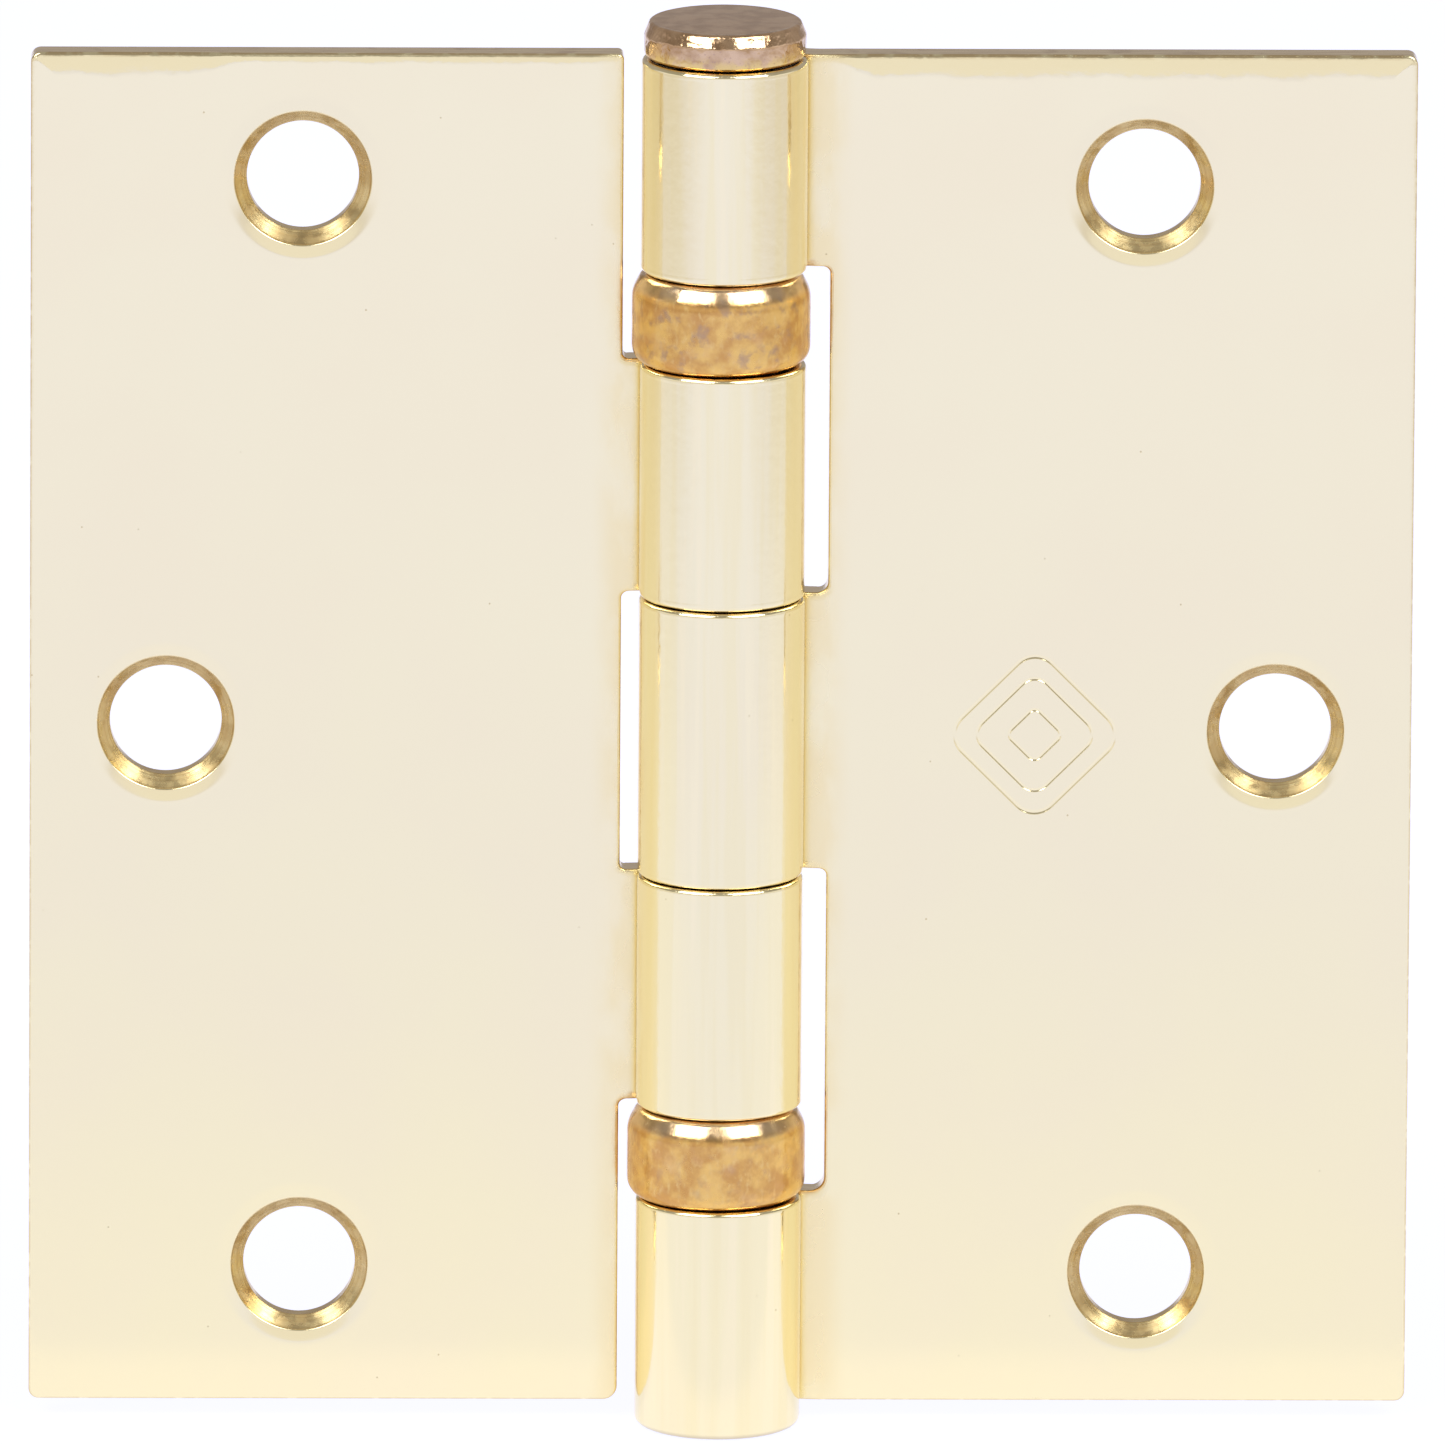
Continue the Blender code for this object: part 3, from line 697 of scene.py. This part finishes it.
class LeafMesh:
    """Collects a leaf's vertices, with their exact normals, and its faces, with their looks."""

    def __init__(self, bend):
        self.bend = bend
        self.points = []
        self.normals = []
        self.rings = []
        self.wear = []
        self.blank_places = []
        self.faces = []
        self.looks = []

    def add(self, along, height, offset, lean=(0.0, 0.0), facing=1.0, ring=0.0, wear=0.0):
        """A vertex over this place of the blank. Its normal leans that way in the sheet and faces the front.

        The ring is its distance in mm from a hole's axis, and its wear is 1 at an edge and 0 on the flat.
        """
        point, direction, front = self.bend.at(along)
        place = point + front * offset
        place.z = LEAF_BOTTOM + height
        normal = direction * lean[0] + Vector((0, 0, lean[1])) + front * facing
        self.points.append(place)
        self.normals.append(normal.normalized())
        self.rings.append(ring)
        self.wear.append(wear)
        self.blank_places.append(Vector((along / MM, height / MM)))
        return len(self.points) - 1

    def skin(self, loops, looks):
        """Quads between successive closed loops of vertices."""
        for loop, following, look in zip(loops, loops[1:], looks):
            for i in range(len(loop)):
                j = (i + 1) % len(loop)
                self.faces.append((loop[i], loop[j], following[j], following[i]))
                self.looks.append(look)

    def edge(self, outline):
        """The whole edge. Returns its innermost loops on the front and on the back."""
        loops = []
        for number, place in enumerate(outline.places):
            share = outline.shares[number]
            wander = 1 + 0.16 * noise(Vector((number * 0.17, share, 3.1)))
            wander += 0.1 * noise(Vector((number * 0.61, 7.3, share)))
            points, looks = edge_section(share * wander, outline.roundings[number])
            if not loops:
                loops = [[] for _ in points]
            for loop, (inset, offset), (outwards, front) in zip(loops, points, section_normals(points)):
                (along, height), inwards = place(inset)
                lean = (-inwards[0] * outwards, -inwards[1] * outwards)
                wear = 1 - min(1.0, inset / points[0][0])
                loop.append(self.add(along, height, offset, lean, front, wear=wear))
        self.skin(loops, looks)
        return loops[0], loops[-1]

    def hole(self, along, height):
        """A countersunk hole in the flat plate. Returns its outermost loops on the front and on the back."""
        points, looks = hole_section()
        loops = []
        for (radius, offset), (outwards, front) in zip(points, section_normals(points)):
            loop = []
            for i in range(HOLE_STEPS):
                angle = math.tau * i / HOLE_STEPS
                out = Vector((math.cos(angle), math.sin(angle)))
                lean = -out * outwards
                spot = Vector((along, height)) + out * radius
                loop.append(self.add(spot.x, spot.y, offset, lean, front, radius / MM))
            loops.append(loop)
        self.skin(loops, looks)
        return loops[0], loops[-1]

    def groove(self, along, height, size, corner, width):
        """A groove round a square that stands on a rounded corner. Returns its outer and inner loops."""
        section = [(-width * part, HALF - MARK_DEPTH * depth) for part, depth in GROOVE_STEPS]
        loops = []
        for (inset, offset), (outwards, front) in zip(section, section_normals(section)):
            loop = []
            for spot, out in rounded_square(size + inset * math.sqrt(2), corner + inset):
                lean = -out * outwards
                loop.append(self.add(along + spot.x, height + spot.y, offset, lean, front))
            loops.append(loop)
        self.skin(loops, [FACE] * (len(loops) - 1))
        return loops[0], loops[-1]

    def fill(self, border, holes, lines, front):
        """Triangles inside the border and outside the holes. The lines' ends are vertices or blank places."""
        offset, facing = (HALF, 1.0) if front else (-HALF, -1.0)
        numbers, edges = [], []
        for loop in [border] + holes:
            first = len(numbers)
            numbers += loop
            edges += [(first + i, first + (i + 1) % len(loop)) for i in range(len(loop))]
        index = {number: i for i, number in enumerate(numbers)}
        for line in lines:
            ends = [self.add(*end, offset, facing=facing) if isinstance(end, tuple) else end for end in line]
            for end in ends:
                if end not in index:
                    index[end] = len(numbers)
                    numbers.append(end)
            edges.append(tuple(index[end] for end in ends))
        flat = [self.blank_places[number] for number in numbers]
        spots, _, triangles, sources = delaunay_2d_cdt(flat, edges, [], 0, 1e-7)[:4]
        rings = [[self.blank_places[number] for number in loop] for loop in [border] + holes]
        for triangle in triangles:
            middle = sum((spots[i] for i in triangle), Vector((0, 0))) / 3
            if inside(middle, rings[0]) and not any(inside(middle, ring) for ring in rings[1:]):
                self.faces.append(tuple(numbers[sources[i][0]] for i in triangle))
                self.looks.append(FACE)

    def make(self, name, looks):
        mesh = bpy.data.meshes.new(name)
        mesh.from_pydata(self.points, [], self.faces)
        mesh.polygons.foreach_set("material_index", self.looks)
        mesh.attributes.new("ring", "FLOAT", "POINT").data.foreach_set("value", self.rings)
        mesh.attributes.new("wear", "FLOAT", "POINT").data.foreach_set("value", self.wear)
        bm = bmesh.new()
        bm.from_mesh(mesh)
        bmesh.ops.recalc_face_normals(bm, faces=bm.faces)
        bm.to_mesh(mesh)
        bm.free()
        mesh.shade_smooth()
        mesh.normals_split_custom_set_from_vertices([tuple(normal) for normal in self.normals])
        for look in looks:
            mesh.materials.append(look)
        return link(bpy.data.objects.new(name, mesh))


def rounded_square(size, corner):
    """(place, outward direction) pairs round a square that stands on a rounded corner, counterclockwise."""
    corner = max(corner, 0.15 * MM)
    pairs = []
    for i in range(4):
        middle = i * math.pi / 2
        centre = Vector((math.cos(middle), math.sin(middle))) * (size - corner * math.sqrt(2))
        for k in range(MARK_CORNER_STEPS + 1):
            angle = middle + math.pi / 2 * (k / MARK_CORNER_STEPS - 0.5)
            out = Vector((math.cos(angle), math.sin(angle)))
            pairs.append((centre + out * corner, out))
    return pairs


def rolled_leaf(name, side, inner_x, knuckles, top_share, fillets, inner_corners, hole_rise, looks, marked):
    """A whole leaf as one closed mesh: edge, holes and mark, with triangles on the flats between them."""
    bend = Bend(side, inner_x)
    mesh = LeafMesh(bend)
    outline, crossings = leaf_outline(bend, knuckles, top_share, fillets, inner_corners)
    front, back = mesh.edge(outline)
    front_holes, back_holes = [], []
    for x, height in HOLE_PLACES:
        loops = mesh.hole(LEAF_OUTER_X - x, height + hole_rise)
        front_holes.append(loops[0])
        back_holes.append(loops[1])
    front_lines, back_lines = [], []
    for (bottom, top), pairs in zip(knuckles, crossings):
        front_lines += [(front[low], front[high]) for low, high in pairs]
        back_lines += [(back[low], back[high]) for low, high in pairs]
        for along in spaced(bend.start - 0.05 * MM, bend.start + FILLET_ZONE - 0.1 * MM, 0.18 * MM):
            line = ((along, bottom + KNUCKLE_CLEARANCE), (along, top - KNUCKLE_CLEARANCE))
            front_lines.append(line)
            back_lines.append(line)
    islands = []
    if marked:
        grooves = [mesh.groove(LEAF_OUTER_X - MARK_X, MARK_HEIGHT, *line) for line in MARK_LINES]
        front_holes.append(grooves[0][0])
        islands = [(here[1], [following[0]]) for here, following in zip(grooves, grooves[1:])]
        islands.append((grooves[-1][1], []))
    mesh.fill(front, front_holes, front_lines, True)
    mesh.fill(back, back_holes, back_lines, False)
    for border, holes in islands:
        mesh.fill(border, holes, [], True)
    return mesh.make(name, looks)


def jamb_top_share(along):
    """The die roll is nearly even along the top of the jamb leaf."""
    return 1.0


def door_top_share(along):
    """The die roll is wide near the door leaf's outer corner and narrow further in."""
    return 0.95 - 0.5 * smooth(along, 10 * MM, 14 * MM)


# ---- turned parts


def rounded_path(corners, steps=7):
    """A path through (radius, height, rounding) corners, with an arc at each rounding."""
    path = []
    spots = [Vector(corner[:2]) for corner in corners]
    for i, (_, _, rounding) in enumerate(corners):
        here, before, after = spots[i], spots[i - 1], spots[(i + 1) % len(spots)]
        if not rounding:
            path.append(here)
            continue
        to_before, to_after = (before - here).normalized(), (after - here).normalized()
        half = to_before.angle(to_after) / 2
        reach = rounding / math.tan(half)
        centre = here + (to_before + to_after).normalized() * (rounding / math.sin(half))
        first = here + to_before * reach - centre
        turn = first.angle_signed(here + to_after * reach - centre)
        hold = min(rounding * 0.25, 0.1 * MM)
        path.append(here + to_before * (reach + hold))
        for k in range(steps + 1):
            path.append(centre + Matrix.Rotation(-turn * k / steps, 2) @ first)
        path.append(here + to_after * (reach + hold))
    return path


def turned(name, path, base, look, closed=True, shift=(0.0, 0.0), shape=None):
    """A body turned about the Z axis. A path that isn't closed starts and ends on the axis.

    shape moves each point a little, as a function of (radius, angle, height).
    """
    bm = bmesh.new()
    rings = []
    for radius, height in path:
        if radius < 1e-9:
            rings.append([bm.verts.new((shift[0], shift[1], base + height))])
            continue
        ring = []
        for i in range(TURNED_STEPS):
            angle = math.tau * i / TURNED_STEPS
            r, h = shape(radius, angle, height) if shape else (radius, height)
            spot = (shift[0] + r * math.cos(angle), shift[1] + r * math.sin(angle), base + h)
            ring.append(bm.verts.new(spot))
        rings.append(ring)
    following = rings[1:] + (rings[:1] if closed else [])
    for ring, after in zip(rings, following):
        for i in range(TURNED_STEPS):
            j = (i + 1) % TURNED_STEPS
            corners = [ring[i % len(ring)], ring[j % len(ring)], after[j % len(after)], after[i % len(after)]]
            bm.faces.new(list(dict.fromkeys(corners)))
    bmesh.ops.recalc_face_normals(bm, faces=bm.faces)
    mesh = bpy.data.meshes.new(name)
    bm.to_mesh(mesh)
    bm.free()
    mesh.shade_smooth()
    mesh.materials.append(look)
    return link(bpy.data.objects.new(name, mesh))


def polished_pin(look):
    """The pin: a flat head with a worn, slightly uneven rim, four retaining ribs, a shank and a tapered tip."""
    head_bottom = PIN_TOP - PIN_HEAD_HEIGHT
    rib_top, rib_bottom = head_bottom - 1.2 * MM, head_bottom - 4.6 * MM
    taper = PIN_BOTTOM + PIN_TIP_LENGTH
    corners = [
        (0.0, PIN_TOP, 0),
        (2.6 * MM, PIN_TOP - 0.01 * MM, 0),
        (PIN_HEAD_RADIUS - 0.36 * MM, PIN_TOP - 0.05 * MM, 0.32 * MM),
        (PIN_HEAD_RADIUS, PIN_TOP - 0.92 * MM, 0.5 * MM),
        (PIN_HEAD_RADIUS - 0.06 * MM, head_bottom, 0.45 * MM),
        (PIN_RADIUS, head_bottom, 0.08 * MM),
    ]
    corners += [(PIN_RADIUS, height, 0) for height in spaced(rib_top, rib_bottom, 0.25 * MM)]
    corners += [
        (PIN_RADIUS, taper, 0.8 * MM),
        (PIN_TIP_RADIUS, PIN_BOTTOM, 0.4 * MM),
        (0.0, PIN_BOTTOM, 0),
    ]

    def shape(radius, angle, height):
        if height > head_bottom:
            uneven = noise(Vector((5 * math.cos(angle), 5 * math.sin(angle), height / MM)) * 0.9)
            return radius - 0.07 * MM * (0.5 + 0.5 * uneven) * smooth(radius, 4 * MM, 5 * MM), height
        ends = smooth(height, rib_bottom, rib_bottom + 0.5 * MM) * smooth(-height, -rib_top, 0.5 * MM - rib_top)
        crest = max(0.0, math.cos(4 * angle)) ** 12
        return radius + PIN_RIB_HEIGHT * crest * ends, height

    return turned("rose_copper_pin", rounded_path(corners), 0.0, look, closed=False, shape=shape)


def collar(name, base, look):
    """A bearing's collar: a drawn cup with a wide soft shoulder on top and its lower edge rolled in."""
    inner = SHELL_RADIUS - SHELL_WALL
    corners = [
        (SHELL_MOUTH_RADIUS, SHELL_TOP, 0.15 * MM),
        (SHELL_RADIUS - 0.66 * MM, SHELL_TOP, 0.75 * MM),
        (SHELL_RADIUS, SHELL_TOP - 1.24 * MM, 2.0 * MM),
        (SHELL_RADIUS, (SHELL_BOTTOM + SHELL_TOP) / 2, 0),
        (SHELL_RADIUS, SHELL_BOTTOM, 1.2 * MM),
        (SHELL_MOUTH_RADIUS, SHELL_BOTTOM, 0.15 * MM),
        (SHELL_MOUTH_RADIUS, SHELL_BOTTOM + SHELL_WALL, 0.1 * MM),
        (inner, SHELL_BOTTOM + SHELL_WALL, 0.35 * MM),
        (inner, SHELL_TOP - SHELL_WALL, 0.5 * MM),
        (SHELL_MOUTH_RADIUS, SHELL_TOP - SHELL_WALL, 0.1 * MM),
    ]

    def shape(radius, angle, height):
        spot = Vector((math.cos(angle) * 2.2, math.sin(angle) * 2.2, height / (1.6 * MM)))
        dent = 0.025 * MM * (0.5 + 0.5 * noise(spot))
        return radius - dent * smooth(radius, inner, SHELL_RADIUS - 0.1 * MM), height

    path = rounded_path(corners, steps=9)
    return turned(name, path, base, look, shift=(-SHELL_SIDE_PLAY, 0.0), shape=shape)


def ball_groove(face_height, start_outside):
    """The groove's arc across a race's face, from one side to the other."""
    middle = -math.pi / 2 if face_height < BALL_HEIGHT else math.pi / 2
    half = math.acos(abs(face_height - BALL_HEIGHT) / GROOVE_RADIUS)
    centre = Vector((BALL_PITCH_RADIUS, BALL_HEIGHT))
    points = []
    for i in range(13):
        angle = middle + half * (2 * i / 12 - 1)
        points.append(centre + Vector((math.cos(angle), math.sin(angle))) * GROOVE_RADIUS)
    if (points[0].x > points[-1].x) != start_outside:
        points.reverse()
    return [(point.x, point.y, 0) for point in points]


def race(name, base, look, on_top):
    """One of a bearing's two rings, with its ball groove and eased corners."""
    ease = 0.12 * MM
    if on_top:
        face, flange, top = TOP_RACE_HEIGHTS
        corners = [
            (RACE_BORE_RADIUS, face, 0),
            (RACE_BORE_RADIUS, top, ease),
            (RACE_BOSS_RADIUS, top, ease),
            (RACE_BOSS_RADIUS, flange, 0.06 * MM),
            (RACE_RADIUS, flange, ease),
            (RACE_RADIUS, face, 0),
        ]
        corners += ball_groove(face, True)
    else:
        bottom, face = BOTTOM_RACE_HEIGHTS
        corners = [(RACE_BORE_RADIUS, bottom, ease), (RACE_BORE_RADIUS, face, 0)]
        corners += ball_groove(face, False)
        corners += [(RACE_RADIUS, face, 0), (RACE_RADIUS, bottom, ease)]
    return turned(name, rounded_path(corners), base, look)


def ball_mesh(look):
    bm = bmesh.new()
    bmesh.ops.create_icosphere(bm, subdivisions=4, radius=BALL_RADIUS)
    mesh = bpy.data.meshes.new("ball")
    bm.to_mesh(mesh)
    bm.free()
    mesh.shade_smooth()
    mesh.materials.append(look)
    return mesh


# ---- the object


def show(piece, body, slot, *nodes):
    """The piece stands for these CAD nodes and moves with their body."""
    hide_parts(*nodes)
    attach(piece, body)


def build_leaves():
    looks = (polished_brass(), cut_edge(), countersink_brass())
    jamb = rolled_leaf(
        "jamb_plate", 1, JAMB_INNER_X, JAMB_KNUCKLES, jamb_top_share, JAMB_SLOT_FILLETS, None, 0.0, looks, True
    )
    door = rolled_leaf(
        "door_plate", -1, DOOR_INNER_X, DOOR_KNUCKLES, door_top_share, DOOR_SLOT_FILLETS, DOOR_INNER_CORNERS,
        DOOR_HOLE_RISE, looks, False
    )
    show(jamb, "jamb", "brass", "jamb_leaf")
    show(door, "door", "brass", "door_leaf")


def build_bearing(name, shell_body, bottom_body, top_body, balls_body, bronze, steel, balls):
    base = BEARING_BASES[name]
    show(collar(f"{name}_collar", base, bronze), shell_body, "bronze", f"{name}_bearing_shell")
    bottom = race(f"{name}_seat_ring", base, steel, False)
    show(bottom, bottom_body, "steel", f"{name}_bearing_bottom_race")
    top = race(f"{name}_cap_ring", base, steel, True)
    show(top, top_body, "steel", f"{name}_bearing_top_race")
    for i in range(BALL_COUNT):
        ball = link(bpy.data.objects.new(f"{name}_ball_{i + 1}", balls))
        angle = math.tau * i / BALL_COUNT
        x, y = BALL_PITCH_RADIUS * math.cos(angle), BALL_PITCH_RADIUS * math.sin(angle)
        ball.location = (x, y, base + BALL_HEIGHT)
        ball.rotation_euler = (angle, 2 * angle, 0)
        show(ball, balls_body, "steel", f"{name}_bearing_ball_{i + 1}")


def build_hinge():
    build_leaves()
    show(polished_pin(rose_copper()), "pin", "copper", "hinge_pin")
    bronze, steel = mottled_bronze(), bearing_steel()
    balls = ball_mesh(steel)
    build_bearing("upper", "door", "door", "jamb", "upper_balls", bronze, steel, balls)
    build_bearing("lower", "jamb", "jamb", "door", "lower_balls", bronze, steel, balls)


# ---- the studio


def pale_floor():
    """A large white sheet that glows, so that it has no shadows: whitest under the hinge, greyer far aside."""
    made = Recipe("White sheet")
    shader = made.shader
    shader.inputs["Metallic"].default_value = 0.0
    shader.inputs["Specular IOR Level"].default_value = 0.0
    depth = made.axis("Y")
    glow = made.mix(made.rise(depth, 0.0, -0.16), (0.86, 0.885, 1.12), (0.80, 0.84, 1.17))
    aside = made.number("ABSOLUTE", made.axis("X"))
    glow = made.mix(made.rise(aside, 0.12, 0.5), glow, (0.66, 0.63, 0.68))
    under = made.times(made.rise(depth, -0.022, -0.011), made.rise(aside, 0.12, 0.06))
    glow = made.mix(under, glow, (0.93, 0.94, 1.15))
    made.feed(shader.inputs["Emission Color"], glow)
    shader.inputs["Emission Strength"].default_value = 1.0
    shader.inputs["Base Color"].default_value = (0.08, 0.08, 0.08, 1)
    shader.inputs["Roughness"].default_value = 0.9
    mesh = bpy.data.meshes.new("white_sheet")
    reach, level = 5.0, BARREL_BOTTOM - 0.05 * MM
    corners = [(x * reach, y * reach, level) for x, y in ((-1, -1), (1, -1), (1, 1), (-1, 1))]
    mesh.from_pydata(corners, [], [(0, 1, 2, 3)])
    mesh.materials.append(made.material)
    link(bpy.data.objects.new("white_sheet", mesh))


def studio_walls():
    """The room above the sheet: a pale strip low in front of the hinge, dark above it, and grey behind it."""
    world = bpy.data.worlds.new("Studio")
    bpy.context.scene.world = world
    world.use_nodes = True
    nodes, links = world.node_tree.nodes, world.node_tree.links
    parts = nodes.new("ShaderNodeSeparateXYZ")
    links.new(nodes.new("ShaderNodeTexCoord").outputs["Generated"], parts.inputs[0])

    def blend(part, low, high, first, second):
        turn = nodes.new("ShaderNodeMapRange")
        turn.interpolation_type = "SMOOTHSTEP"
        turn.inputs["From Min"].default_value = low
        turn.inputs["From Max"].default_value = high
        links.new(parts.outputs[part], turn.inputs["Value"])
        mix = nodes.new("ShaderNodeMix")
        mix.data_type = "RGBA"
        links.new(turn.outputs[0], mix.inputs[0])
        for index, colour in ((6, first), (7, second)):
            if isinstance(colour, tuple):
                mix.inputs[index].default_value = (*colour, 1)
            else:
                links.new(colour, mix.inputs[index])
        return mix.outputs[2]

    front = blend("Z", 0.16, 0.34, (0.88, 0.87, 0.95), (0.36, 0.34, 0.33))
    whole = blend("Y", 0.0, 0.6, front, (0.40, 0.37, 0.36))
    links.new(whole, nodes["Background"].inputs["Color"])


def direction_to(azimuth, elevation):
    """Which way it is from the hinge to something there. Azimuth 0 is in front of the hinge."""
    level = math.cos(elevation)
    return Vector((math.sin(azimuth) * level, -math.cos(azimuth) * level, math.sin(elevation)))


def softbox(name, azimuth):
    """A wide lamp that faces the hinge."""
    lamp = bpy.data.lights.new(name, "AREA")
    lamp.shape = "RECTANGLE"
    lamp.size, lamp.size_y = SOFTBOX_SIZE
    lamp.energy = SOFTBOX_POWER
    obj = link(bpy.data.objects.new(name, lamp))
    away = direction_to(azimuth, SOFTBOX_ELEVATION)
    obj.location = away * SOFTBOX_DISTANCE
    obj.rotation_euler = away.to_track_quat("Z", "Y").to_euler()


def photographer():
    """The camera, a little above the hinge and almost straight in front of it."""
    data = bpy.data.cameras.new("Camera")
    data.lens = LENS_MM
    data.sensor_width = 36.0
    data.clip_start = 0.05
    data.clip_end = 30.0
    camera = link(bpy.data.objects.new("Camera", data))
    back = direction_to(VIEW_AZIMUTH, VIEW_ELEVATION)
    level = Vector((math.cos(VIEW_AZIMUTH), math.sin(VIEW_AZIMUTH), 0))
    upright = back.cross(level)
    right = level * math.cos(VIEW_ROLL) - upright * math.sin(VIEW_ROLL)
    up = level * math.sin(VIEW_ROLL) + upright * math.cos(VIEW_ROLL)
    aim = Vector((0, 0, (LEAF_BOTTOM + LEAF_TOP) / 2)) + right * VIEW_RIGHT + up * VIEW_UP
    turn = Matrix((right, up, back)).transposed().to_4x4()
    camera.matrix_world = Matrix.Translation(aim + back * VIEW_DISTANCE) @ turn
    bpy.context.scene.camera = camera


def build_studio():
    pale_floor()
    studio_walls()
    softbox("left_softbox", -SOFTBOX_AZIMUTH)
    softbox("right_softbox", SOFTBOX_AZIMUTH)
    photographer()
    bpy.context.scene.view_settings.view_transform = "Standard"


build_hinge()
build_studio()
